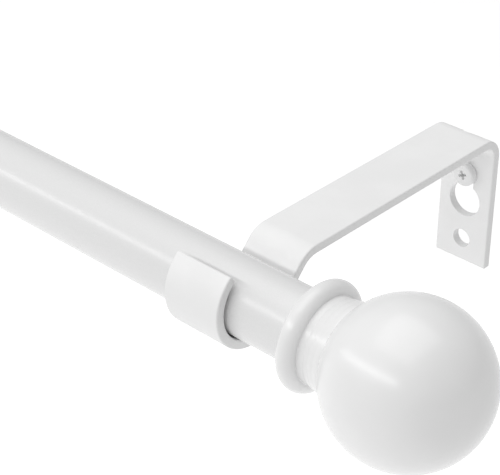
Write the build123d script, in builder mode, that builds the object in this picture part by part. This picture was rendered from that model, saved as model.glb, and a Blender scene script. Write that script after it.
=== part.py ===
from build123d import *
from math import asin, cos, pi, radians, sin, sqrt
import os

# Curtain rod with brackets: a telescoping steel tube, a ball finial on each end and three
# bent strip brackets with J hooks. Millimetres. X runs along the rod, +Y points into the wall,
# +Z is up. The origin is on the wall face of the centre bracket, between its two screw holes.

# ---- driving dimensions -------------------------------------------------------------------
# rod
outer_tube_radius = 12.7  # a one inch tube
inner_tube_radius = 11.1  # a seven eighths tube that slides in it
tube_wall = 0.8
outer_tube_length = 880.0
inner_tube_length = 880.0
running_gap = 0.1  # round parts that slide or turn in one another
seat_gap = 0.02  # parts of one body that are pressed together

# bracket spacing and strip
bracket_spacing = 455.0  # from the centre bracket to each end bracket
strip_width = 23.4
strip_thickness = 3.4
strip_edge_round = 0.6
arm_top = 41.0  # height of the arm's upper face
plate_bottom = -16.8
wall_bend_radius = 9.3  # outside of the bend at the wall
front_bend_radius = 11.2  # outside of the bend above the leg
leg_angle = 48.0  # leg below the horizontal
hook_inner_radius = 14.0
hook_projection = 133.5  # wall to the middle of the hook
hook_drop = 6.7  # arm's upper face to the middle of the hook
hook_lip_angle = 52.0  # how far the lip curls past the horizontal
hook_rest_gap = 0.3  # between the rod and the bottom of the hook

# wall plate holes
keyhole_radius = 6.9
keyhole_height = 10.1
slot_radius = 3.4
wall_screw_height = 21.8
lower_hole_radius = 3.8
lower_hole_height = -7.2

# gusset pressed into the wall bend
gusset_radius = 5.0
gusset_depth = 0.8
gusset_web_radius = 3.0
gusset_web_reach = 3.7  # from the strip's outer face in to the web's middle
gusset_web_length = 9.0

# wall screw
wall_screw_head_radius = 4.8
wall_screw_head_height = 2.8
wall_screw_shank_radius = 2.4
wall_screw_length = 16.0
wall_screw_point = 5.0

# set screw through the leg
set_screw_radius = 3.15
set_screw_dome_radius = 4.5
set_screw_place = 4.9  # up the leg from where the hook begins
set_screw_reach = 7.5  # shank left showing behind the leg
set_screw_head_radius = 5.2
set_screw_head_height = 3.4
set_screw_tip_gap = 0.4  # between the dome and the tube it bears on
far_set_screw_tip_gap = 0.8

# cross recess of both kinds of screw
recess_width = 1.3
recess_length = 5.2
recess_depth = 1.7
head_flat_share = 0.8  # of a pan head's radius, flat on top
head_side_share = 0.6  # of a pan head's height, straight at its side

# finial
finial_gap = 35.65  # from the middle of the end bracket to the finial's mouth
bead_ring_radius = 15.7
bead_radius = 3.3
neck_radius = 15.0
neck_steps = 2
neck_step_height = 0.6
neck_step_start = 11.4
neck_step_length = 2.0
ball_radius = 27.1
ball_distance = 37.65  # from the mouth to the middle of the ball
mouth_depth = 10.6
rod_in_mouth = 10.3
mouth_gap = 0.15
mouth_chamfer = 0.6

# finial thread
stud_radius = 3.95
stud_in_plug = 15.0
stud_in_finial = 16.0
stud_chamfer = 0.8
plug_length = 18.0
plug_bore_gap = 0.05
insert_radius = 6.5
insert_length = 16.0
insert_start = 12.6
insert_bore_depth = 20.0
insert_bevel = 0.3

# plugs and sleeves of the rod
tube_lip_length = 3.0
guide_flange_length = 4.0
guide_spigot_length = 10.0
guide_bore_radius = 6.0
tube_end_bevel = 0.2
end_plug_bevel = 0.5
sleeve_bevel = 0.4

# ---- derived places -----------------------------------------------------------------------
rod_y = -hook_projection
hook_z = arm_top - hook_drop
rod_z = hook_z - (hook_inner_radius - outer_tube_radius - hook_rest_gap)

near_x = bracket_spacing
far_x = -bracket_spacing
near_mouth_x = near_x + finial_gap
far_mouth_x = far_x - finial_gap
near_tube_end = near_mouth_x + rod_in_mouth
far_tube_end = far_mouth_x - rod_in_mouth
tube_mouth_x = near_tube_end - outer_tube_length
inner_tube_start = far_tube_end + inner_tube_length

rod_axis = Axis((0, rod_y, rod_z), (1, 0, 0))
near_plane = Plane(origin=(near_mouth_x, rod_y, rod_z), x_dir=(1, 0, 0), z_dir=(0, 0, 1))
far_plane = Plane(origin=(far_mouth_x, rod_y, rod_z), x_dir=(-1, 0, 0), z_dir=(0, 0, -1))
rod_plane = Plane(origin=(0, rod_y, rod_z), x_dir=(1, 0, 0), z_dir=(0, 0, 1))

leg_along = Vector(0, cos(radians(leg_angle)), sin(radians(leg_angle)))  # up the leg
leg_normal = Vector(0, -sin(radians(leg_angle)), cos(radians(leg_angle)))  # towards the rod


def save(part, name):
    """Label a finished piece and write it to its own file."""
    part.label = name
    export_step(part, f"parts/{name}.step")


def bracket_strip(x, lift):
    """One bent strip: wall plate, arm, leg and J hook, with its holes and its gusset."""
    half = strip_thickness / 2
    hole_cut = strip_thickness + half  # past both faces of the strip
    middle = Plane.YZ.offset(x)
    hook_centre = Vector(rod_y, hook_z + lift)
    tangent = hook_centre + Vector(-leg_normal.Y, -leg_normal.Z) * (hook_inner_radius + half)
    arm_line = arm_top + lift - half
    corner_y = tangent.X + (arm_line - tangent.Y) / leg_along.Z * leg_along.Y
    bend_middle = Vector(-wall_bend_radius, arm_top + lift - wall_bend_radius)
    outwards = Vector(cos(pi / 4), sin(pi / 4))
    groove_point = bend_middle + outwards * (wall_bend_radius + gusset_radius - gusset_depth)
    web_point = bend_middle + outwards * (wall_bend_radius - gusset_web_reach)

    with BuildPart() as strip:
        with BuildSketch(middle):
            with BuildLine() as path:
                FilletPolyline(
                    (-half, plate_bottom + lift),
                    (-half, arm_line),
                    (corner_y, arm_line),
                    (tangent.X, tangent.Y),
                    radius=(wall_bend_radius - half, front_bend_radius - half),
                )
                CenterArc(
                    (hook_centre.X, hook_centre.Y),
                    hook_inner_radius + half,
                    leg_angle - 90,
                    -(90 + leg_angle + hook_lip_angle),
                )
            trace(line_width=strip_thickness)
        extrude(amount=strip_width / 2, both=True)
        fillet(strip.faces().filter_by(Axis.X).edges(), strip_edge_round)

        # the web that the gusset raises in the inner corner, and its groove outside
        web_plane = Plane(
            origin=(x, web_point.X, web_point.Y),
            x_dir=(1, 0, 0),
            z_dir=(0, -outwards.Y, outwards.X),
        )
        with BuildSketch(web_plane):
            Circle(gusset_web_radius)
        extrude(amount=gusset_web_length / 2, both=True)
        groove_plane = Plane(
            origin=(x, groove_point.X, groove_point.Y),
            x_dir=(1, 0, 0),
            z_dir=(0, -outwards.Y, outwards.X),
        )
        with BuildSketch(groove_plane):
            Circle(gusset_radius)
        extrude(amount=wall_bend_radius, both=True, mode=Mode.SUBTRACT)

        # keyhole and lower screw hole
        with BuildSketch(Plane.XZ):
            with Locations((x, keyhole_height + lift)):
                Circle(keyhole_radius)
            with Locations((x, (keyhole_height + wall_screw_height) / 2 + lift)):
                SlotCenterToCenter(
                    wall_screw_height - keyhole_height, 2 * slot_radius, rotation=90
                )
            with Locations((x, lower_hole_height + lift)):
                Circle(lower_hole_radius)
        extrude(amount=hole_cut, both=True, mode=Mode.SUBTRACT)

        # tapped hole for the set screw
        with BuildSketch(leg_plane(x, lift)):
            Circle(set_screw_radius + running_gap / 2)
        extrude(amount=hole_cut, both=True, mode=Mode.SUBTRACT)
    return strip.part


def leg_plane(x, lift):
    """The plane of the leg's rod side, centred on the set screw."""
    tangent = Vector(0, rod_y, hook_z + lift) - leg_normal * hook_inner_radius
    place = tangent + leg_along * set_screw_place
    return Plane(origin=(x, place.Y, place.Z), x_dir=(1, 0, 0), z_dir=leg_normal)


def recess_cross(face_plane):
    """The cross that a screwdriver fits, drawn on the head's face."""
    with BuildSketch(face_plane) as cross:
        Rectangle(recess_length, recess_width)
        Rectangle(recess_width, recess_length)
    return cross.sketch


def head_crown(top, seat, radius):
    """The rounded shoulder of a pan head, from its flat top to its side."""
    height = seat - top
    flat = radius * head_flat_share
    side = seat - height * head_side_share
    turn = sin(pi / 4)
    return ThreePointArc(
        (top, flat),
        (side + (top - side) * turn, flat + (radius - flat) * turn),
        (side, radius),
    )


def wall_screw(x, lift):
    """A pan head screw that hangs the bracket by its keyhole; its shank goes into the wall."""
    height = wall_screw_height + lift
    seat = -strip_thickness - running_gap / 2
    top = seat - wall_screw_head_height
    side = Plane(origin=(x, 0, height), x_dir=(0, 1, 0), z_dir=(1, 0, 0))
    with BuildPart() as screw:
        with BuildSketch(side):
            with BuildLine():
                crown = head_crown(top, seat, wall_screw_head_radius)
                Polyline(
                    crown @ 1,
                    (seat, wall_screw_head_radius),
                    (seat, wall_screw_shank_radius),
                    (seat + wall_screw_length - wall_screw_point, wall_screw_shank_radius),
                    (seat + wall_screw_length, 0),
                    (top, 0),
                    crown @ 0,
                )
            make_face()
        revolve(axis=Axis((x, 0, height), (0, 1, 0)))
        cross = recess_cross(Plane(origin=(x, top, height), x_dir=(1, 0, 0), z_dir=(0, -1, 0)))
        extrude(cross, amount=-recess_depth, mode=Mode.SUBTRACT)
    return screw.part


def tip_height(tube_radius, tip_gap):
    """How far the set screw's dome stands out of the leg, just short of the rod."""
    drop = hook_inner_radius - tube_radius - hook_rest_gap
    centre_height = hook_inner_radius - drop * leg_normal.Z
    along = set_screw_place + drop * leg_along.Z
    reach = tube_radius + set_screw_dome_radius + tip_gap
    return centre_height + set_screw_dome_radius - sqrt(reach**2 - along**2)


def set_screw(x, lift, stand_out):
    """A domed screw through the leg that bears on the rod, with a pan head behind the leg."""
    face = leg_plane(x, lift)
    side = Plane(origin=face.origin, x_dir=leg_normal, z_dir=(-1, 0, 0))
    dome_angle = asin(set_screw_radius / set_screw_dome_radius)
    dome_rise = set_screw_dome_radius * cos(dome_angle)
    dome_centre = stand_out - set_screw_dome_radius
    seat = stand_out - strip_thickness - set_screw_reach
    back = seat - set_screw_head_height
    with BuildPart() as screw:
        with BuildSketch(side):
            with BuildLine():
                crown = head_crown(back, seat, set_screw_head_radius)
                Polyline(
                    crown @ 1,
                    (seat, set_screw_head_radius),
                    (seat, set_screw_radius),
                    (dome_centre + dome_rise, set_screw_radius),
                )
                ThreePointArc(
                    (dome_centre + dome_rise, set_screw_radius),
                    (
                        dome_centre + set_screw_dome_radius * cos(dome_angle / 2),
                        set_screw_dome_radius * sin(dome_angle / 2),
                    ),
                    (stand_out, 0),
                )
                Polyline((stand_out, 0), (back, 0), crown @ 0)
            make_face()
        revolve(axis=Axis(face.origin, leg_normal))
        back_point = Vector(face.origin) + leg_normal * back
        cross = recess_cross(Plane(origin=back_point, x_dir=(1, 0, 0), z_dir=leg_normal * -1))
        extrude(cross, amount=-recess_depth, mode=Mode.SUBTRACT)
    return screw.part


def finial_ball(mouth):
    """Bead, stepped neck and ball turned in one piece, bored for the rod and the insert."""
    bore = outer_tube_radius + mouth_gap
    bead_end = bead_radius + sqrt(bead_radius**2 - (neck_radius - bead_ring_radius) ** 2)
    last_neck = neck_radius + neck_steps * neck_step_height
    ball_start = ball_distance - sqrt(ball_radius**2 - last_neck**2)
    steps = [(bead_end, neck_radius)]
    for number in range(neck_steps):
        step_x = neck_step_start + number * neck_step_length
        steps.append((step_x, neck_radius + number * neck_step_height))
        steps.append((step_x, neck_radius + (number + 1) * neck_step_height))
    steps.append((ball_start, last_neck))
    with BuildPart() as finial:
        with BuildSketch(mouth):
            with BuildLine():
                Polyline(
                    (0, bead_ring_radius),
                    (0, bore + mouth_chamfer),
                    (mouth_chamfer, bore),
                    (mouth_depth, bore),
                    (mouth_depth, insert_radius),
                    (insert_start + insert_bore_depth, insert_radius),
                    (insert_start + insert_bore_depth, 0),
                    (ball_distance + ball_radius, 0),
                )
                ThreePointArc(
                    (ball_distance + ball_radius, 0), (ball_distance, ball_radius), steps[-1]
                )
                Polyline(*reversed(steps))
                ThreePointArc(
                    (bead_end, neck_radius),
                    (bead_radius, bead_ring_radius + bead_radius),
                    (0, bead_ring_radius),
                )
            make_face()
        revolve(axis=rod_axis)
    return finial.part


def ring(plane, start, length, outer, inner, bevel):
    """A plain turned sleeve along the rod, with its outer corners bevelled."""
    with BuildPart() as sleeve:
        with BuildSketch(plane):
            with BuildLine():
                Polyline(
                    (start, inner),
                    (start, outer - bevel),
                    (start + bevel, outer),
                    (start + length - bevel, outer),
                    (start + length, outer - bevel),
                    (start + length, inner),
                    close=True,
                )
            make_face()
        revolve(axis=rod_axis)
    return sleeve.part


def stud(plane):
    """The threaded stud that draws the finial onto the plug in the rod's end."""
    start = rod_in_mouth - stud_in_plug
    length = stud_in_plug + (insert_start - rod_in_mouth) + stud_in_finial
    with BuildPart() as rod:
        with BuildSketch(Plane(origin=plane.origin + plane.x_dir * start, z_dir=plane.x_dir)):
            Circle(stud_radius)
        extrude(amount=length)
        chamfer(rod.edges().filter_by(GeomType.CIRCLE), stud_chamfer)
    return rod.part


def outer_tube():
    """The wide tube, with its mouth rolled in to guide the narrow one."""
    inside = outer_tube_radius - tube_wall
    lip = inner_tube_radius + running_gap
    with BuildPart() as tube:
        with BuildSketch(rod_plane):
            with BuildLine():
                Polyline(
                    (tube_mouth_x, lip),
                    (tube_mouth_x, lip + tube_wall),
                    (tube_mouth_x + tube_lip_length, outer_tube_radius),
                    (near_tube_end, outer_tube_radius),
                    (near_tube_end, inside),
                    (tube_mouth_x + tube_lip_length, inside),
                    close=True,
                )
            make_face()
        revolve(axis=rod_axis)
    return tube.part


def guide_plug():
    """The plastic plug in the narrow tube's hidden end; its flange slides in the wide tube."""
    flange = outer_tube_radius - tube_wall - running_gap
    spigot = inner_tube_radius - tube_wall - seat_gap
    with BuildPart() as plug:
        with BuildSketch(rod_plane):
            with BuildLine():
                Polyline(
                    (inner_tube_start - guide_spigot_length, guide_bore_radius),
                    (inner_tube_start - guide_spigot_length, spigot),
                    (inner_tube_start + seat_gap, spigot),
                    (inner_tube_start + seat_gap, flange),
                    (inner_tube_start + guide_flange_length, flange),
                    (inner_tube_start + guide_flange_length, guide_bore_radius),
                    close=True,
                )
            make_face()
        revolve(axis=rod_axis)
    return plug.part


os.makedirs("parts", exist_ok=True)

# ---- brackets and their screws ------------------------------------------------------------
thin_tube_lift = outer_tube_radius - inner_tube_radius  # the far hook holds the thinner tube
bracket_places = {
    "near": (near_x, 0.0, outer_tube_radius, set_screw_tip_gap),
    "centre": (0.0, 0.0, outer_tube_radius, set_screw_tip_gap),
    "far": (far_x, thin_tube_lift, inner_tube_radius, far_set_screw_tip_gap),
}
for place, (x, lift, held_radius, tip_gap) in bracket_places.items():
    save(bracket_strip(x, lift), f"{place}_bracket")
    save(wall_screw(x, lift), f"{place}_wall_screw")
    save(set_screw(x, lift, tip_height(held_radius, tip_gap)), f"{place}_set_screw")

# ---- rod ------------------------------------------------------------------------------------
save(outer_tube(), "outer_tube")
inner_tube_inside = inner_tube_radius - tube_wall
inner_tube = ring(
    rod_plane,
    far_tube_end,
    inner_tube_length,
    inner_tube_radius,
    inner_tube_inside,
    tube_end_bevel,
)
save(inner_tube, "inner_tube")
save(guide_plug(), "inner_tube_guide_plug")

# ---- finials --------------------------------------------------------------------------------
finial_ends = {
    "near": (near_plane, outer_tube_radius),
    "far": (far_plane, inner_tube_radius),
}
thread_bore = stud_radius + plug_bore_gap
insert_outer = insert_radius - seat_gap
plug_start = rod_in_mouth - plug_length
for end, (plane, tube_radius) in finial_ends.items():
    plug_outer = tube_radius - tube_wall - seat_gap
    plug = ring(plane, plug_start, plug_length, plug_outer, thread_bore, end_plug_bevel)
    insert = ring(plane, insert_start, insert_length, insert_outer, thread_bore, insert_bevel)
    save(plug, f"{end}_end_plug")
    save(stud(plane), f"{end}_finial_stud")
    save(insert, f"{end}_finial_insert")
    save(finial_ball(plane), f"{end}_finial")

# ---- sleeve that fills the far finial's mouth round the thinner tube -----------------------
sleeve_bore = inner_tube_radius + seat_gap
sleeve = ring(far_plane, 0.0, rod_in_mouth, outer_tube_radius, sleeve_bore, sleeve_bevel)
save(sleeve, "far_finial_sleeve")
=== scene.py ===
# %% [markdown]
# # A curtain rod with J hook brackets, built around its CAD frame
# This lesson dresses the CAD model of a telescoping curtain rod. The CAD model already says
# how big everything is and how it moves, so here each visible piece is modelled again with
# finer shapes and given a painted finish, and then told which moving body it travels with.
# One unit is one metre. X runs along the rod, the wall is on the +Y side and Z is up.

# %% Load the frame
import math

import bmesh
import bpy
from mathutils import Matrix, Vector


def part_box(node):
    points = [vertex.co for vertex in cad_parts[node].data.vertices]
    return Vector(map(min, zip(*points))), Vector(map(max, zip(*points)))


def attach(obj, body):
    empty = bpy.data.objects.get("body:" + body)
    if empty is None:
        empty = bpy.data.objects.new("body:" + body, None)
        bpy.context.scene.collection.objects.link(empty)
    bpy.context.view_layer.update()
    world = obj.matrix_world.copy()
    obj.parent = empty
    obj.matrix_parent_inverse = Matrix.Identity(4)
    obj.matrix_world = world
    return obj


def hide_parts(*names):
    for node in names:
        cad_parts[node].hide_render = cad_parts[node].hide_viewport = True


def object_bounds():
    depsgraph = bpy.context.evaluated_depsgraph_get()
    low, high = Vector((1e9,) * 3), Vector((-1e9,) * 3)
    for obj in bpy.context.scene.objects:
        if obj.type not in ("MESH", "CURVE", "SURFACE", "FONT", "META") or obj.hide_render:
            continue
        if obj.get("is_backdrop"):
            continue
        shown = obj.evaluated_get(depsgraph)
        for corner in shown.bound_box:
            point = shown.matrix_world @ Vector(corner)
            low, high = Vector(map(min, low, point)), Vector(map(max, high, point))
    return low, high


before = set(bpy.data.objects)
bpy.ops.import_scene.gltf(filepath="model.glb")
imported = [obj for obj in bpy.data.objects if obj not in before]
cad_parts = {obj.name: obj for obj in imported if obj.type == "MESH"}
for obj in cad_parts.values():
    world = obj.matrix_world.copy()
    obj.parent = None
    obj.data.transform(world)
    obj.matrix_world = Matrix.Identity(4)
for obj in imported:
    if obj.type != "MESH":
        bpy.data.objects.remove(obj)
cad_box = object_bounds()

# %% [markdown]
# ## Where things are
# The places come from the CAD nodes' own boxes. The rod's middle is the middle of the wide
# tube's box, and each bracket's middle is the middle of its strip. Small sizes that a box
# can't tell, such as a bend's radius, are written here once, in millimetres, and turned into
# metres by `mm`.

# %% Places and sizes
mm = 0.001


def box_middle(node):
    """The middle of a CAD node's box."""
    low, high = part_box(node)
    return (low + high) / 2


def box_size(node):
    """How long a CAD node's box is along X, Y and Z."""
    low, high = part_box(node)
    return high - low


rod_middle = box_middle("outer_tube")
rod_y, rod_z = rod_middle.y, rod_middle.z
bracket_x = {place: box_middle(f"{place}_bracket").x for place in ("near", "centre", "far")}
bracket_lift = {
    place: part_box(f"{place}_bracket")[1].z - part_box("centre_bracket")[1].z for place in bracket_x
}
strip_width = box_size("centre_bracket").x
strip_thickness = 3.4 * mm
arm_top = 41.0 * mm  # the upper face of the centre bracket's arm
print("rod at y", round(rod_y, 4), "z", round(rod_z, 4), "strip", round(strip_width, 4))

# %% [markdown]
# ## Hands for modelling
# Every piece below is made the way a person would make it in the viewport: add a primitive,
# go into edit mode, select something, run an operator. An operator acts on all that is
# selected, so each helper first clears the selection. A line is drawn by merging a plane to
# one point and extruding that point from place to place.

# %% Selecting and starting
tiny = 0.002 * mm


def only(piece):
    """Leave object mode pieces unselected, apart from this one."""
    bpy.ops.object.select_all(action="DESELECT")
    piece.select_set(True)
    bpy.context.view_layer.objects.active = piece


def start_point(name, place):
    """A plane merged to its centre: one point, from which a line is drawn."""
    bpy.ops.object.select_all(action="DESELECT")
    bpy.ops.mesh.primitive_plane_add(size=mm, location=(0, 0, 0))
    piece = bpy.context.object
    piece.name = piece.data.name = name
    bpy.ops.object.mode_set(mode="EDIT")
    bpy.ops.mesh.select_mode(type="VERT")
    bpy.ops.mesh.select_all(action="SELECT")
    bpy.ops.mesh.merge(type="CENTER")
    bpy.ops.transform.translate(value=place)
    return piece


def draw_line(points):
    """Extrude the selected point along these (x, z) places, the first being where it is."""
    for here, there in zip(points, points[1:]):
        step = (there[0] - here[0], 0, there[1] - here[1])
        bpy.ops.mesh.extrude_region_move(TRANSFORM_OT_translate={"value": step})


def pick_faces(piece, wanted):
    """In edit mode, select the faces for which wanted(middle, normal) is true."""
    bpy.ops.mesh.select_all(action="DESELECT")
    bpy.ops.mesh.select_mode(type="FACE")
    mesh = bmesh.from_edit_mesh(piece.data)
    for face in mesh.faces:
        face.select = wanted(face.calc_center_median(), face.normal)
    mesh.select_flush(True)
    bmesh.update_edit_mesh(piece.data)


def close_seams():
    """In edit mode, merge doubled points and turn every face outwards."""
    bpy.ops.mesh.select_mode(type="VERT")
    bpy.ops.mesh.select_all(action="SELECT")
    bpy.ops.mesh.remove_doubles(threshold=tiny)
    bpy.ops.mesh.normals_make_consistent(inside=False)


# %% Turning, cutting and finishing
def turned(name, line, segments):
    """Draw a closed line of (radius, height) places and spin it once round the Z axis."""
    piece = start_point(name, (line[0][0], 0, line[0][1]))
    draw_line(line)
    bpy.ops.mesh.select_all(action="SELECT")
    bpy.ops.mesh.spin(steps=segments, angle=math.tau, center=(0, 0, 0), axis=(0, 0, 1))
    close_seams()
    bpy.ops.object.mode_set(mode="OBJECT")
    return piece


def place(piece, location, turn=(0, 0, 0)):
    """Put a piece where it belongs, with the move and the turn kept in its mesh."""
    only(piece)
    piece.location = location
    piece.rotation_euler = turn
    bpy.ops.object.transform_apply(location=True, rotation=True, scale=True)
    return piece


def apply_modifier(piece, kind, **settings):
    """Add a modifier with these settings and apply it."""
    only(piece)
    made = piece.modifiers.new(kind.title(), kind)
    for name, value in settings.items():
        setattr(made, name, value)
    bpy.ops.object.modifier_apply(modifier=made.name)


def combine(piece, tool, operation="DIFFERENCE"):
    """Cut the tool away from the piece, or add it to the piece, and remove the tool."""
    apply_modifier(piece, "BOOLEAN", object=tool, operation=operation, solver="EXACT")
    bpy.data.objects.remove(tool)


def round_edges(piece, width, angle, segments=2):
    """Round every edge sharper than the angle, in degrees."""
    apply_modifier(
        piece,
        "BEVEL",
        width=width,
        segments=segments,
        limit_method="ANGLE",
        angle_limit=math.radians(angle),
        use_clamp_overlap=True,
    )


def smooth_shade(piece, angle=35):
    """Smooth shading that leaves real corners crisp and flat faces flat."""
    only(piece)
    bpy.ops.object.shade_smooth_by_angle(angle=math.radians(angle))
    apply_modifier(piece, "WEIGHTED_NORMAL", keep_sharp=True, weight=50)


def copy_of(piece, name):
    """A copy with its own mesh."""
    only(piece)
    bpy.ops.object.duplicate(linked=False)
    made = bpy.context.object
    made.name = made.data.name = name
    return made


def told(piece):
    """Print a piece's faces, and how many of its edges don't join exactly two of them."""
    mesh = bmesh.new()
    mesh.from_mesh(piece.data)
    open_edges = sum(not edge.is_manifold for edge in mesh.edges)
    print(piece.name, "has", len(mesh.faces), "faces and", open_edges, "open edges")
    mesh.free()


def arc(centre, radius, start, end, steps):
    """Points (x, z) of an arc between two angles in degrees, both ends included."""
    points = []
    for number in range(steps + 1):
        angle = math.radians(start + (end - start) * number / steps)
        points.append((centre[0] + radius * math.cos(angle), centre[1] + radius * math.sin(angle)))
    return points


# %% [markdown]
# ## The bracket strip
# The real bracket is one strip of steel, 23 mm wide and about 3 mm thick, bent on a press.
# It stands against the wall, turns over into the arm, drops down the leg and ends in a J
# hook that wraps round the rod. The same is done here: a short edge across the strip is
# extruded along the straight runs and spun round the middle of each bend, which leaves a
# sheet at the middle of the metal. Solidify then gives it its thickness.

# %% Bend the strip
half = strip_thickness / 2
plate_bottom = -16.8 * mm
wall_bend = 9.3 * mm - half  # radius at the middle of the metal
front_bend = 11.2 * mm - half
leg_angle = math.radians(48)
hook_radius = 14.0 * mm + half
hook_centre = Vector((0, rod_y, arm_top - 6.7 * mm))
lip_angle = math.radians(52)  # how far the lip curls up past the horizontal
hook_turn = leg_angle + math.radians(90) + lip_angle
leg_down = Vector((0, -math.cos(leg_angle), -math.sin(leg_angle)))
leg_back = Vector((0, math.sin(leg_angle), -math.cos(leg_angle)))


def run_to(there, here):
    """Extrude the selected edge straight from here to there."""
    bpy.ops.mesh.extrude_region_move(TRANSFORM_OT_translate={"value": there - here})


def bend(angle, centre, steps):
    """Spin the selected edge about a line along X; a positive angle bends it forwards."""
    bpy.ops.mesh.spin(steps=steps, angle=-angle, center=centre, axis=(1, 0, 0))


arm_line = arm_top - half
leg_end = hook_centre + leg_back * hook_radius
corner = leg_end - leg_down * ((arm_line - leg_end.z) / math.sin(leg_angle))
setback = front_bend * math.tan(leg_angle / 2)
wall_centre = Vector((0, -half - wall_bend, arm_line - wall_bend))
front_centre = Vector((0, corner.y + setback, arm_line - front_bend))

strip = start_point("bracket_strip", (-strip_width / 2, -half, plate_bottom))
bpy.ops.mesh.extrude_region_move(TRANSFORM_OT_translate={"value": (strip_width, 0, 0)})
bpy.ops.mesh.select_all(action="SELECT")
run_to(Vector((0, -half, wall_centre.z)), Vector((0, -half, plate_bottom)))
bend(math.radians(90), wall_centre, 14)
run_to(Vector((0, front_centre.y, arm_line)), Vector((0, wall_centre.y, arm_line)))
bend(leg_angle, front_centre, 10)
run_to(leg_end, front_centre + (-leg_back) * front_bend)
bend(-hook_turn, hook_centre, 48)
close_seams()
bpy.ops.object.mode_set(mode="OBJECT")
apply_modifier(strip, "SOLIDIFY", thickness=strip_thickness, offset=0, use_even_offset=True)
told(strip)

# %% [markdown]
# ## Rounding the strip's edges
# Powder coat never leaves a knife edge: it pulls back from a corner and rounds it. A Bevel
# modifier limited by angle rounds only the strip's long edges and its two cut ends, because
# the small steps round the bends are far below the angle.

# %% Round the strip
round_edges(strip, 0.6 * mm, 60, segments=4)
told(strip)

# %% [markdown]
# ## The gusset
# A flat strip would open at the wall bend when a heavy curtain hangs on it, so the press
# also pushes a small dart into the bend: a dent outside and a rib inside. Two cylinders lie
# across the corner. One adds the rib and the other cuts the dent. The dent is so shallow
# that smooth shading alone softens its rim, as pressed metal is soft.

# %% Press the gusset
slope = math.radians(45)
outwards = Vector((0, math.cos(slope), math.sin(slope)))


def rod_tool(radius, length, middle, turn=(0, 0, 0), segments=48):
    """A cylinder that is only used to cut or to add."""
    bpy.ops.object.select_all(action="DESELECT")
    bpy.ops.mesh.primitive_cylinder_add(
        vertices=segments, radius=radius, depth=length, location=middle, rotation=turn
    )
    return bpy.context.object


bend_outside = wall_bend + half
rib_reach, rib_radius, rib_length = 3.7 * mm, 3.0 * mm, 9.0 * mm
dent_depth, dent_radius, dent_length = 0.8 * mm, 5.0 * mm, 19.0 * mm
web_middle = wall_centre + outwards * (bend_outside - rib_reach)
web = rod_tool(rib_radius, rib_length, web_middle, (slope, 0, 0))
round_edges(web, 0.5 * mm, 60, segments=3)
combine(strip, web, "UNION")
dent_middle = wall_centre + outwards * (bend_outside + dent_radius - dent_depth)
combine(strip, rod_tool(dent_radius, dent_length, dent_middle, (slope, 0, 0), 64))
told(strip)

# %% [markdown]
# ## The holes
# The plate has a keyhole, which drops over a screw head and slides down behind it, and one
# plain hole below it for a second screw. The leg has a tapped hole for the set screw. Each
# hole is cut with a tool of its own, and the new sharp rims are then broken by a small
# bevel, which catches the light just as a punched and painted rim does.

# %% Cut the holes
through = 3 * strip_thickness
facing_wall = (math.radians(90), 0, 0)
keyhole_z, screw_z, lower_hole_z = 10.1 * mm, 21.8 * mm, -7.2 * mm
keyhole_radius, slot_radius, lower_hole_radius = 6.9 * mm, 3.4 * mm, 3.8 * mm
tapped_radius, rim_bevel = 3.2 * mm, 0.36 * mm
combine(strip, rod_tool(keyhole_radius, through, (0, -half, keyhole_z), facing_wall, 64))
combine(strip, rod_tool(slot_radius, through, (0, -half, screw_z), facing_wall, 48))
bpy.ops.object.select_all(action="DESELECT")
slot_middle = (0, -half, (keyhole_z + screw_z) / 2)
bpy.ops.mesh.primitive_cube_add(size=1, location=slot_middle)
slot_tool = bpy.context.object
slot_tool.scale = (2 * slot_radius, through, screw_z - keyhole_z)
place(slot_tool, slot_middle)
combine(strip, slot_tool)
combine(strip, rod_tool(lower_hole_radius, through, (0, -half, lower_hole_z), facing_wall, 48))
set_screw_up = 4.9 * mm
set_screw_face = hook_centre + leg_back * (hook_radius - half) - leg_down * set_screw_up
tapped_middle = set_screw_face + leg_back * half
combine(strip, rod_tool(tapped_radius, through, tapped_middle, (leg_angle, 0, 0), 40))
round_edges(strip, rim_bevel, 41, segments=3)
told(strip)

# %% Shade the strip and copy it
smooth_shade(strip, 40)
brackets = {}
for where, x in bracket_x.items():
    made = copy_of(strip, f"{where}_bracket_strip")
    brackets[where] = place(made, (x, 0, bracket_lift[where]))
    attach(made, "wall_brackets")
    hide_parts(f"{where}_bracket")
bpy.data.objects.remove(strip)

# %% [markdown]
# ## Screw heads
# Both kinds of screw have a pan head with a cross recess. The head's side view is a line
# drawn once and turned round the screw's axis: flat on top, rounded at the shoulder and
# straight at the side. The driver's recess narrows as it goes down, so its tool is a thin
# box whose inner end is scaled smaller, used twice, a quarter turn apart.


# %% Pan head and cross recess
def pan_head_line(radius, height):
    """The (radius, height) places of a pan head that stands on zero, from its middle out."""
    flat, side = 0.8 * radius, 0.6 * height
    shoulder = []
    for number in range(9):
        angle = math.radians(90 - 90 * number / 8)
        out = flat + (radius - flat) * math.cos(angle)
        shoulder.append((out, side + (height - side) * math.sin(angle)))
    foot = 0.12 * mm
    return [(0, height), (flat * 0.5, height), *shoulder, (radius, foot), (radius - foot, 0)]


def cut_recess(piece, top, reach=5.2 * mm, width=1.3 * mm, depth=1.7 * mm):
    """Cut the tapered cross that a screwdriver fits into a head whose flat is at this height."""
    for quarter in (0, 1):
        bpy.ops.object.select_all(action="DESELECT")
        bpy.ops.mesh.primitive_cube_add(size=1, location=(0, 0, 0))
        tool = bpy.context.object
        tool.scale = (reach, width, 2 * depth)
        place(tool, (0, 0, top))
        bpy.ops.object.mode_set(mode="EDIT")
        pick_faces(tool, lambda middle, normal: normal.z < -0.5)
        bpy.ops.transform.resize(value=(0.42, 0.7, 1), center_override=(0, 0, top - depth))
        bpy.ops.object.mode_set(mode="OBJECT")
        place(tool, (0, 0, 0), (0, 0, math.radians(90) * quarter))
        combine(piece, tool)


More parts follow.
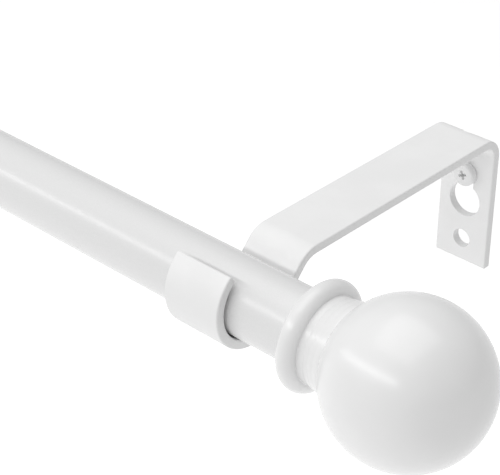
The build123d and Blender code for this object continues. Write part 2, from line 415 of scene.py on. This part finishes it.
def threaded(name, root, crest, pitch, top, bottom):
    """A real spiral thread along Z between two heights, closed at both ends."""
    turns = math.ceil((top - bottom) / pitch) + 2
    start = bottom - 1.37 * pitch  # so that neither cut passes through a row of points
    tooth_shares = [(root, 0), (root, 0.3), (crest, 0.6), (crest, 0.7), (root, 1)]
    tooth = [(r, share * pitch) for r, share in tooth_shares]
    piece = start_point(name, (root, 0, start))
    draw_line([(r, start + z) for r, z in tooth])
    bpy.ops.object.mode_set(mode="OBJECT")
    apply_modifier(
        piece,
        "SCREW",
        angle=math.tau,
        screw_offset=pitch,
        iterations=turns,
        steps=32,
        render_steps=32,
        use_merge_vertices=False,
    )
    bpy.ops.object.mode_set(mode="EDIT")
    close_seams()
    for height, above in ((top, True), (bottom, False)):
        bpy.ops.mesh.select_all(action="SELECT")
        bpy.ops.mesh.bisect(
            plane_co=(0, 0, height),
            plane_no=(0, 0, 1),
            threshold=tiny / 10,  # the usual 0.1 mm is more than the thread climbs in a step
            use_fill=True,
            clear_outer=above,
            clear_inner=not above,
        )
    close_seams()
    bpy.ops.object.mode_set(mode="OBJECT")
    return piece


# %% [markdown]
# ## The wall screw
# A short No. 10 screw holds each bracket by its keyhole. Its thread is a real spiral: one
# tooth is drawn in side view and the Screw modifier carries it round and down, and a Simple
# Deform taper draws the last turns to a point. The head is joined on with a union, so the
# screw is one closed solid. It is modelled pointing down and then laid into the wall.

# %% Model the wall screw
head_radius, head_height = 4.8 * mm, 2.8 * mm
shank_radius = 2.4 * mm
shank_length, point_length = 16.0 * mm, 5.0 * mm
neck_length = 4.0 * mm
head_turn = math.radians(22)  # screws never stop with their cross upright
wall_thread = threaded(
    "wall_thread", 1.75 * mm, shank_radius, 2.1 * mm, 0.5 * mm - neck_length, -shank_length
)
place(wall_thread, (0, 0, shank_length - point_length))
only(wall_thread)
bpy.ops.object.mode_set(mode="EDIT")
bpy.ops.mesh.select_all(action="SELECT")
bpy.ops.mesh.bisect(plane_co=(0, 0, 0), plane_no=(0, 0, 1))
bpy.ops.object.mode_set(mode="OBJECT")
point_share = point_length / (shank_length - neck_length + 0.5 * mm)
apply_modifier(
    wall_thread,
    "SIMPLE_DEFORM",
    deform_method="TAPER",
    deform_axis="Z",
    factor=0.94,
    limits=(0, point_share),
)
place(wall_thread, (0, 0, point_length - shank_length))

wall_screw_line = [
    *pan_head_line(head_radius, head_height),
    (2.2 * mm, 0),
    (2.2 * mm, -neck_length),
    (1.6 * mm, -neck_length - 0.8 * mm),
    (0, -neck_length - 0.8 * mm),
]
wall_screw = turned("wall_screw", wall_screw_line, 64)
combine(wall_screw, wall_thread, "UNION")
cut_recess(wall_screw, head_height)
place(wall_screw, (0, 0, 0), (0, 0, head_turn))
round_edges(wall_screw, 0.1 * mm, 62, segments=1)
told(wall_screw)

# %% [markdown]
# ## Painted head, bare recess with painted shade
# These screws come painted to match, and the paint is thin or missing where the driver
# bites. So the faces inside the recess and along the thread are given a second finish, bare
# steel. This steel is darker than the paint, so in the recess it also stands in for the shade
# that falls there: painted shade. They are picked out by where they are: inside the cross,
# below the head's flat, or below the head altogether.


# %% Give the bare faces and the painted recess shade their own slot
def bare_and_recess_shade_below(piece, flat_height, reach, seat, tip_start=-1.0):
    """Slot 1, bare steel that also paints the recess shade, for faces inside the recess or from the
    seat to the tip; slot 0 is the paint.
    """
    for polygon in piece.data.polygons:
        middle = polygon.center
        out = math.hypot(middle.x, middle.y)
        # the recess faces take the darker steel, which paints the shade in the recess
        inside = out < reach and 0 < middle.z < flat_height - 0.12 * mm
        polygon.material_index = 1 if inside or tip_start < middle.z < seat else 0


def finish_slots(piece, *materials):
    """Give a piece its finishes in the order of its slots."""
    piece.data.materials.clear()
    for material in materials:
        piece.data.materials.append(material)


recess_reach = 2.7 * mm
screws = {}
for _ in range(2):
    wall_screw.data.materials.append(None)
bare_and_recess_shade_below(wall_screw, head_height, recess_reach, -0.2 * mm)
smooth_shade(wall_screw, 40)
head_seat = -strip_thickness - 0.05 * mm
for where, x in bracket_x.items():
    made = copy_of(wall_screw, f"{where}_wall_screw_painted")
    place(made, (x, head_seat, screw_z + bracket_lift[where]), facing_wall)
    screws[f"{where}_wall_screw"] = made
    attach(made, "wall_brackets")
    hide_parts(f"{where}_wall_screw")
bpy.data.objects.remove(wall_screw)

# %% [markdown]
# ## The set screw
# A short machine screw goes up through the leg and its domed tip keeps the rod from being
# knocked out of the hook. It is turned from the same pan head, with a finer thread, and the
# dome is an arc in its side view.

# %% Model the set screw
set_head_radius, set_head_height = 5.2 * mm, 3.4 * mm
set_radius, dome_radius = 3.15 * mm, 4.5 * mm
set_reach = 7.5 * mm
dome_stands_out = 1.16 * mm
tip = -(set_reach + strip_thickness)  # measured from the head's seat
dome_angle = math.asin(set_radius / dome_radius)
dome_line = []
for number in range(7):
    angle = dome_angle * (1 - number / 6)
    height = tip + dome_radius * (1 - math.cos(angle))
    dome_line.append((dome_radius * math.sin(angle), height))
dome_line[-1] = (0, tip)
dome_starts = dome_line[0][1] + 0.3 * mm
set_line = [
    *pan_head_line(set_head_radius, set_head_height),
    (2.7 * mm, 0),
    (2.7 * mm, dome_starts + 0.2 * mm),
    (set_radius, dome_starts),
    *dome_line,
]
set_screw = turned("set_screw", set_line, 64)
cut_recess(set_screw, set_head_height)
crest, thread_foot = set_radius - 0.04 * mm, dome_starts + 0.35 * mm
set_thread = threaded("set_thread", 2.57 * mm, crest, 1.27 * mm, -0.9 * mm, thread_foot)
told(set_thread)
combine(set_screw, set_thread, "UNION")
for _ in range(2):
    set_screw.data.materials.append(None)
bare_and_recess_shade_below(set_screw, set_head_height, recess_reach, -0.2 * mm, dome_starts)
smooth_shade(set_screw, 40)
told(set_screw)

set_seat = set_screw_face + leg_back * (strip_thickness + set_reach - dome_stands_out)
centre_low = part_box("centre_set_screw")[0]
for where in bracket_x:
    made = copy_of(set_screw, f"{where}_set_screw_threaded")
    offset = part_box(f"{where}_set_screw")[0] - centre_low
    place(made, set_seat + offset, (leg_angle + math.pi, 0, 0))
    screws[f"{where}_set_screw"] = made
    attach(made, f"{where}_set_screw")
    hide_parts(f"{where}_set_screw")
bpy.data.objects.remove(set_screw)

# %% [markdown]
# ## The two tubes
# The rod is a wide tube with a thinner one that slides out of it. The wide tube's mouth is
# rolled in, so that it grips the thin one and leaves no sharp edge. A tube is a closed line
# of its wall, spun round the rod's middle. The line is drawn upright and the finished tube
# is laid along X.

# %% Turn the tubes
outer_radius = box_size("outer_tube").z / 2
inner_radius = box_size("inner_tube").z / 2
tube_wall = 0.8 * mm
outer_length = box_size("outer_tube").x
inner_length = box_size("inner_tube").x
lip_length = 3.0 * mm
along_rod = (0, math.radians(90), 0)
against_rod = (0, math.radians(-90), 0)

lip_rise = outer_radius - inner_radius - 0.9 * mm
lip_line = []
for number in range(9):
    angle = math.radians(90 * number / 8)
    out = inner_radius + 0.9 * mm + lip_rise * math.sin(angle)
    lip_line.append((out, lip_length * (1 - math.cos(angle))))
outer_line = [
    (inner_radius + 0.1 * mm, 0.15 * mm),
    (inner_radius + 0.35 * mm, 0),
    *lip_line,
    (outer_radius, outer_length - 0.2 * mm),
    (outer_radius - 0.2 * mm, outer_length),
    (outer_radius - tube_wall, outer_length),
    (outer_radius - tube_wall, lip_length),
    (inner_radius + 0.1 * mm, 1.2 * mm),
    (inner_radius + 0.1 * mm, 0.15 * mm),
]
outer_tube = turned("outer_tube_coated", outer_line, 128)
place(outer_tube, (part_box("outer_tube")[0].x, rod_y, rod_z), along_rod)
inner_line = [
    (inner_radius - tube_wall, 0),
    (inner_radius - 0.2 * mm, 0),
    (inner_radius, 0.2 * mm),
    (inner_radius, inner_length - 0.2 * mm),
    (inner_radius - 0.2 * mm, inner_length),
    (inner_radius - tube_wall, inner_length),
    (inner_radius - tube_wall, 0),
]
inner_tube = turned("inner_tube_coated", inner_line, 128)
place(inner_tube, (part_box("inner_tube")[0].x, rod_y, rod_z), along_rod)
for tube, body, node in (
    (outer_tube, "outer_rod", "outer_tube"),
    (inner_tube, "inner_rod", "inner_tube"),
):
    smooth_shade(tube, 40)
    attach(tube, body)
    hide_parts(node)
    told(tube)

# %% [markdown]
# ## The finial
# The finial is turned in one piece: a round bead at the mouth, a neck that widens in three
# low rings, and the ball. Its side view starts inside, where the rod and the threaded
# insert go, comes out round the bead and ends at the ball's pole. Each ring is half a sine
# wave laid on the widening neck, so that it shows only as a faint soft band.

# %% Turn the finial
bead_ring, bead_radius = 15.7 * mm, 3.3 * mm
neck_radius, wide_neck = 15.0 * mm, 16.2 * mm
ring_start, ring_length, ring_rise, neck_rings = 9.0 * mm, 2.3 * mm, 0.1 * mm, 3
ball_radius, ball_distance = 27.1 * mm, 37.65 * mm
mouth_depth, mouth_radius, mouth_bevel = 10.6 * mm, outer_radius + 0.15 * mm, 0.6 * mm
insert_radius, insert_depth = 6.5 * mm, 32.6 * mm

bead_meets = math.degrees(math.asin((neck_radius - bead_ring) / bead_radius))
bead = [(z, x) for x, z in arc((bead_radius, bead_ring), bead_radius, 180, bead_meets, 32)]
neck = [(neck_radius, ring_start)]
for number in range(1, 8 * neck_rings + 1):
    rings_done = number / 8
    widening = (wide_neck - neck_radius) * rings_done / neck_rings
    swell = ring_rise * abs(math.sin(math.pi * rings_done))
    neck.append((neck_radius + widening + swell, ring_start + ring_length * rings_done))
ball_meets = 180 - math.degrees(math.asin(wide_neck / ball_radius))
ball = [(z, x) for x, z in arc((ball_distance, 0), ball_radius, ball_meets, 0, 96)]
ball[-1] = (0, ball_distance + ball_radius)
finial_line = [
    (0, insert_depth),
    (insert_radius, insert_depth),
    (insert_radius, mouth_depth),
    (mouth_radius, mouth_depth),
    (mouth_radius, mouth_bevel),
    (mouth_radius + mouth_bevel, 0),
    *bead,
    *neck,
    *ball,
]
finial = turned("finial", finial_line, 144)
round_edges(finial, 0.18 * mm, 55, segments=3)
smooth_shade(finial, 50)
told(finial)
finials = {}
for end, turn, corner_number in (("near", along_rod, 0), ("far", against_rod, 1)):
    mouth_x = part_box(f"{end}_finial")[corner_number].x
    made = copy_of(finial, f"{end}_finial_turned")
    finials[end] = place(made, (mouth_x, rod_y, rod_z), turn)
    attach(made, f"{end}_finial")
    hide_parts(f"{end}_finial")
bpy.data.objects.remove(finial)

# %% [markdown]
# ## Shader sums as plain Python
# A finish is worked out from a few masks and noises. Wiring many Math nodes by hand is slow,
# so one small class stands for a socket: adding or multiplying two of them adds the Math
# node and joins it up. `Finish` makes any other node, sets it up and links what it is given.


# %% Wires and finishes
class Wire:
    """A value in a material's node tree that can be used in sums."""

    def __init__(self, finish, socket):
        self.finish = finish
        self.socket = socket

    def math(self, operation, first, second=0.0):
        sockets = {0: first, 1: second}
        return self.finish.node("ShaderNodeMath", {"operation": operation}, sockets)

    def __add__(self, other):
        return self.math("ADD", self, other)

    __radd__ = __add__

    def __mul__(self, other):
        return self.math("MULTIPLY", self, other)

    __rmul__ = __mul__

    def __sub__(self, other):
        return self.math("SUBTRACT", self, other)

    def __rsub__(self, other):
        return self.math("SUBTRACT", other, self)

    def __truediv__(self, other):
        return self.math("DIVIDE", self, other)

    def __abs__(self):
        return self.math("ABSOLUTE", self)

    def above(self, low, high):
        """0 below low, 1 above high, and smooth between."""
        settings = {"interpolation_type": "SMOOTHSTEP"}
        sockets = {"Value": self, "From Min": low, "From Max": high}
        return self.finish.node("ShaderNodeMapRange", settings, sockets)


class Finish:
    """A material under construction, with its Principled shader."""

    def __init__(self, name, **uniform):
        self.material = bpy.data.materials.new(name)
        self.material.use_nodes = True
        self.tree = self.material.node_tree
        self.shader = self.tree.nodes["Principled BSDF"]
        self.place = self.node("ShaderNodeTexCoord", out="Object")
        for label, value in uniform.items():
            self.feed(self.shader.inputs[label.replace("_", " ")], value)

    def feed(self, socket, value):
        if isinstance(value, Wire):
            self.tree.links.new(value.socket, socket)
        else:
            socket.default_value = value

    def node(self, kind, settings=None, sockets=None, out=0):
        """Add a node; its settings are set first, then the values or links of its sockets."""
        made = self.tree.nodes.new(kind)
        for label, value in (settings or {}).items():
            setattr(made, label, value)
        for label, value in (sockets or {}).items():
            self.feed(made.inputs[label], value)
        return Wire(self, made.outputs[out])

    def noise(self, size, detail=2.0, roughness=0.5, stretch=None):
        """Soft noise whose lumps are about this many metres across, from 0 to 1."""
        where = self.place
        if stretch:
            where = self.node("ShaderNodeMapping", None, {"Vector": self.place, "Scale": stretch})
        sockets = {"Vector": where, "Scale": 1 / size, "Detail": detail, "Roughness": roughness}
        return self.node("ShaderNodeTexNoise", {"noise_dimensions": "3D"}, sockets)

    def axes(self):
        """The X, Y and Z of the place on the piece."""
        split = self.node("ShaderNodeSeparateXYZ", None, {0: self.place})
        outputs = split.socket.node.outputs
        return [Wire(self, outputs[number]) for number in range(3)]

    def mixed(self, mask, low, high):
        """The low colour where the mask is 0 and the high one where it is 1."""
        settings = {"data_type": "RGBA", "clamp_factor": True}
        return self.node("ShaderNodeMix", settings, {0: mask, 6: low, 7: high}, out=2)

    def bump(self, height, depth, strength=1.0):
        """Raise the surface by this many metres where the height is 1."""
        sockets = {"Height": height, "Distance": depth, "Strength": strength}
        self.feed(self.shader.inputs["Normal"], self.node("ShaderNodeBump", None, sockets))

    def wear(self, **varying):
        """Link what varies over the surface."""
        for label, value in varying.items():
            self.feed(self.shader.inputs[label.replace("_", " ")], value)


def grey(value, warmth=0.0):
    """A grey of this brightness, a little warmer or cooler."""
    return (value + warmth, value, value - warmth, 1.0)


# %% [markdown]
# ## Powder coat on the rod
# Powder coat is sprayed on dry and melted, and on a round tube it sets with a fine orange
# peel: tiny hills about half a millimetre across. Under a long lamp they break the bright
# line along the tube into a grain. Two noises make it, one for the hills and a finer one for
# the grit between them, and the coat's sheen drifts very slightly in slow patches.

# %% Rod finish
rod_coat = Finish("rod_powder_coat", IOR=1.5)
rod_hills = rod_coat.noise(0.55 * mm, detail=2.0, roughness=0.55)
rod_grit = rod_coat.noise(0.25 * mm, detail=1.0)
rod_patch = rod_coat.noise(38 * mm, detail=3.0)
rod_colour = rod_coat.mixed(rod_hills.above(0.3, 0.7), grey(0.722), grey(0.738))
rod_coat.wear(Base_Color=rod_colour, Roughness=0.22 + 0.06 * rod_grit + 0.02 * rod_patch)
rod_coat.bump(rod_hills + 0.45 * rod_grit, 0.034 * mm)
for tube in (outer_tube, inner_tube):
    finish_slots(tube, rod_coat.material)
print("rod finish has", len(rod_coat.tree.nodes), "nodes")

# %% [markdown]
# ## Smooth paint on the brackets
# The strip's coat is finer than the tube's and nearly matte. It is thinnest along the two
# long edges, where it pulls back as it melts, and there the steel below makes it a little
# greyer. The mask for that is how far a point is from the strip's middle, and each bracket
# has its own middle, so each gets its own copy of the finish.


# %% Bracket finish
def bracket_finish(name, middle_x):
    """Satin white over steel, thinner along the strip's edges."""
    paint = Finish(name, IOR=1.48)
    x, _, _ = paint.axes()
    from_middle = abs(x - middle_x)
    edge = from_middle.above(strip_width / 2 - 0.75 * mm, strip_width / 2 - 0.05 * mm)
    fine = paint.noise(0.7 * mm, detail=2.0)
    drift = paint.noise(16 * mm, detail=3.0)
    body = paint.mixed(drift.above(0.3, 0.7), grey(0.80), grey(0.825))
    body = paint.mixed(edge * (0.35 + 0.4 * fine), body, grey(0.70))
    paint.wear(Base_Color=body, Roughness=0.47 + 0.1 * fine + 0.05 * drift - 0.06 * edge)
    paint.bump(fine + 0.6 * drift, 0.012 * mm)
    return paint.material


for where, made in brackets.items():
    finish_slots(made, bracket_finish(f"bracket_paint_{where}", bracket_x[where]))

# %% [markdown]
# ## Satin paint on the finials
# The finial is moulded and then painted, so it is the smoothest of the three whites, with a
# soft sheen. What little shows is a very slow unevenness from the spray gun and a fine dust
# in the lacquer. Its low roughness is what keeps the streak of light narrow.

# %% Finial finish
ball_paint = Finish("finial_paint", IOR=1.5)
dust = ball_paint.noise(0.5 * mm, detail=1.0)
spray = ball_paint.noise(22 * mm, detail=2.0)
ball_colour = ball_paint.mixed(spray.above(0.3, 0.7), grey(0.775), grey(0.80))
ball_paint.wear(Base_Color=ball_colour, Roughness=0.225 + 0.03 * dust + 0.02 * spray)
ball_paint.bump(spray + 0.12 * dust, 0.03 * mm)
for made in finials.values():
    finish_slots(made, ball_paint.material)

# %% [markdown]
# ## Screw paint and bare steel
# The screw heads are sprayed with the brackets. Inside the recess and on the threads there
# is zinc plated steel, rubbed and a little dirty in the thread's roots; in the wall screw's
# recess this darker steel also stands in for the shade there, which is painted shade. Zinc has a
# faint patchy sheen, so its roughness wanders more than its colour.

# %% Screw finishes
head_paint = Finish("screw_paint", IOR=1.48)
chips = head_paint.noise(0.9 * mm, detail=3.0)
head_tone = head_paint.mixed(chips.above(0.62, 0.75), grey(0.80), grey(0.70))
head_paint.wear(Base_Color=head_tone, Roughness=0.42 + 0.15 * chips)
head_paint.bump(chips, 0.015 * mm)


def zinc_finish(name, bright, dull, size):
    """Zinc plated steel: patchy sheen with fine scratches along the piece."""
    zinc = Finish(name, Metallic=1.0)
    patch = zinc.noise(size, detail=4.0, roughness=0.6)
    scratch = zinc.noise(0.25 * mm, detail=2.0, stretch=(0.15, 1.0, 1.0))
    tone = zinc.mixed(patch.above(0.3, 0.7), grey(dull, 0.01), grey(bright, -0.005))
    zinc.wear(Base_Color=tone, Roughness=0.28 + 0.25 * patch + 0.1 * scratch)
    zinc.bump(scratch, 0.01 * mm)
    return zinc.material


zinc_steel = zinc_finish("zinc_steel", 0.62, 0.42, 1.5 * mm)
# darker than the paint; in the wall screw's recess this is painted shade as well as bare steel
bare_steel_and_recess_shade = zinc_finish("bare_steel_and_recess_shade", 0.52, 0.40, 0.6 * mm)
for name, made in screws.items():
    inner = bare_steel_and_recess_shade if "wall" in name else zinc_steel
    finish_slots(made, head_paint.material, inner)

# %% [markdown]
# ## What hides inside
# The end plugs, the guide plug and the sleeve are moulded nylon; the inserts are turned
# brass. They are the CAD's own nodes, since their shapes are right as they are, and they
# only need their finishes.

# %% Finishes for the hidden parts
nylon = Finish("white_plastic", IOR=1.46)
flow = nylon.noise(6 * mm, detail=3.0)
grain = nylon.noise(0.3 * mm, detail=1.0)
nylon_tone = nylon.mixed(flow.above(0.3, 0.7), grey(0.74, 0.008), grey(0.79, 0.004))
nylon.wear(Base_Color=nylon_tone, Roughness=0.5 + 0.12 * grain)
nylon.bump(grain + flow, 0.01 * mm)

brass = Finish("brass", Metallic=1.0)
turning = brass.noise(0.2 * mm, detail=1.0, stretch=(1.0, 0.1, 0.1))
tarnish = brass.noise(3 * mm, detail=4.0)
brass_tone = brass.mixed(tarnish.above(0.3, 0.75), (0.76, 0.58, 0.27, 1), (0.60, 0.43, 0.18, 1))
brass.wear(Base_Color=brass_tone, Roughness=0.24 + 0.2 * tarnish + 0.08 * turning)
brass.bump(turning, 0.008 * mm)

hidden = {
    "near_end_plug": nylon.material,
    "far_end_plug": nylon.material,
    "inner_tube_guide_plug": nylon.material,
    "far_finial_sleeve": nylon.material,
    "near_finial_stud": zinc_steel,
    "far_finial_stud": zinc_steel,
    "near_finial_insert": brass.material,
    "far_finial_insert": brass.material,
}
for node, material in hidden.items():
    finish_slots(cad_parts[node], material)

# %% [markdown]
# ## Floor, backdrop and light
# A pale floor lies well below, so that nothing casts a shadow the eye would notice. A pale
# sky fills every shadow. One very long narrow lamp hangs in front of the rod and above it:
# a lamp that is parallel to a tube draws an unbroken bright line along it, and a short
# streak on the ball. A broad soft one above lights the arms, and nothing but the sky lights
# the right side, so that edges that face it go grey.

# %% Stage and lights
bpy.ops.object.select_all(action="DESELECT")
bpy.ops.mesh.primitive_grid_add(x_subdivisions=8, y_subdivisions=8, size=60, location=(0, 0, -0.9))
floor = bpy.context.object
floor.name = "pale_floor"
floor_paint = Finish("pale_floor", Roughness=0.8)
cloud = floor_paint.noise(0.6, detail=2.0)
floor_paint.wear(Base_Color=floor_paint.mixed(cloud, grey(0.90), grey(0.92)))
floor_paint.feed(floor_paint.shader.inputs["Emission Color"], grey(1.0))
floor_paint.feed(floor_paint.shader.inputs["Emission Strength"], 0.426)
finish_slots(floor, floor_paint.material)
floor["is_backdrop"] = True

world = bpy.data.worlds.new("studio")
bpy.context.scene.world = world
world.use_nodes = True
world.node_tree.nodes["Background"].inputs["Color"].default_value = grey(1.0)
world.node_tree.nodes["Background"].inputs["Strength"].default_value = 0.436


def soft_lamp(name, place_at, aim, size, watts):
    """A rectangular lamp of this size that shines from one place towards another."""
    bpy.ops.object.light_add(type="AREA", location=place_at)
    lamp = bpy.context.object
    lamp.name = name
    lamp.rotation_euler = (Vector(aim) - Vector(place_at)).to_track_quat("-Z", "Y").to_euler()
    lamp.data.shape = "RECTANGLE"
    lamp.data.size, lamp.data.size_y = size
    lamp.data.energy = watts
    return lamp


finial_middle = box_middle("near_finial")
strip_lamp_start, strip_lamp_end = finial_middle.x - 5.6, finial_middle.x + 0.45
strip_lamp_x = (strip_lamp_start + strip_lamp_end) / 2
strip_lamp_at = (strip_lamp_x, rod_y - 1.221, rod_z + 0.871)
soft_lamp(
    "strip_lamp",
    strip_lamp_at,
    (strip_lamp_x, rod_y, rod_z),
    (strip_lamp_end - strip_lamp_start, 0.10),
    22.2,
)
soft_lamp("top_lamp", (0.1, -0.1, 2.4), (0.1, -0.1, 0), (2.6, 2.6), 34.9)

# %% [markdown]
# ## Camera
# The camera looks down on the near end of the rod from the front right, with a long lens,
# so that the ball fills the near corner and the rod runs off to the left.

# %% Camera
camera_at = (0.74512, -0.43458, 0.31451)
camera_azimuth, camera_down, camera_lens = 42.98, 32.07, 112.71
bpy.ops.object.camera_add(location=camera_at)
camera = bpy.context.object
camera.rotation_euler = (math.radians(90 - camera_down), 0, math.radians(camera_azimuth))
camera.data.lens = camera_lens
camera.data.sensor_width = 36
camera.data.clip_start = 0.01
bpy.context.scene.camera = camera
bpy.context.scene.view_settings.view_transform = "Standard"

# %% [markdown]
# ## Sizes and finish
# The lowest and the highest corners of both boxes are compared, and how far the visual
# model's corners are from the CAD model's is printed, in millimetres.

# %% Measure and finish
visual_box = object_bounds()
for side, number in (("lowest", 0), ("highest", 1)):
    difference = [round((v - c) * 1000, 2) for c, v in zip(cad_box[number], visual_box[number])]
    print(side, "corner differs from the CAD's by", difference, "mm")
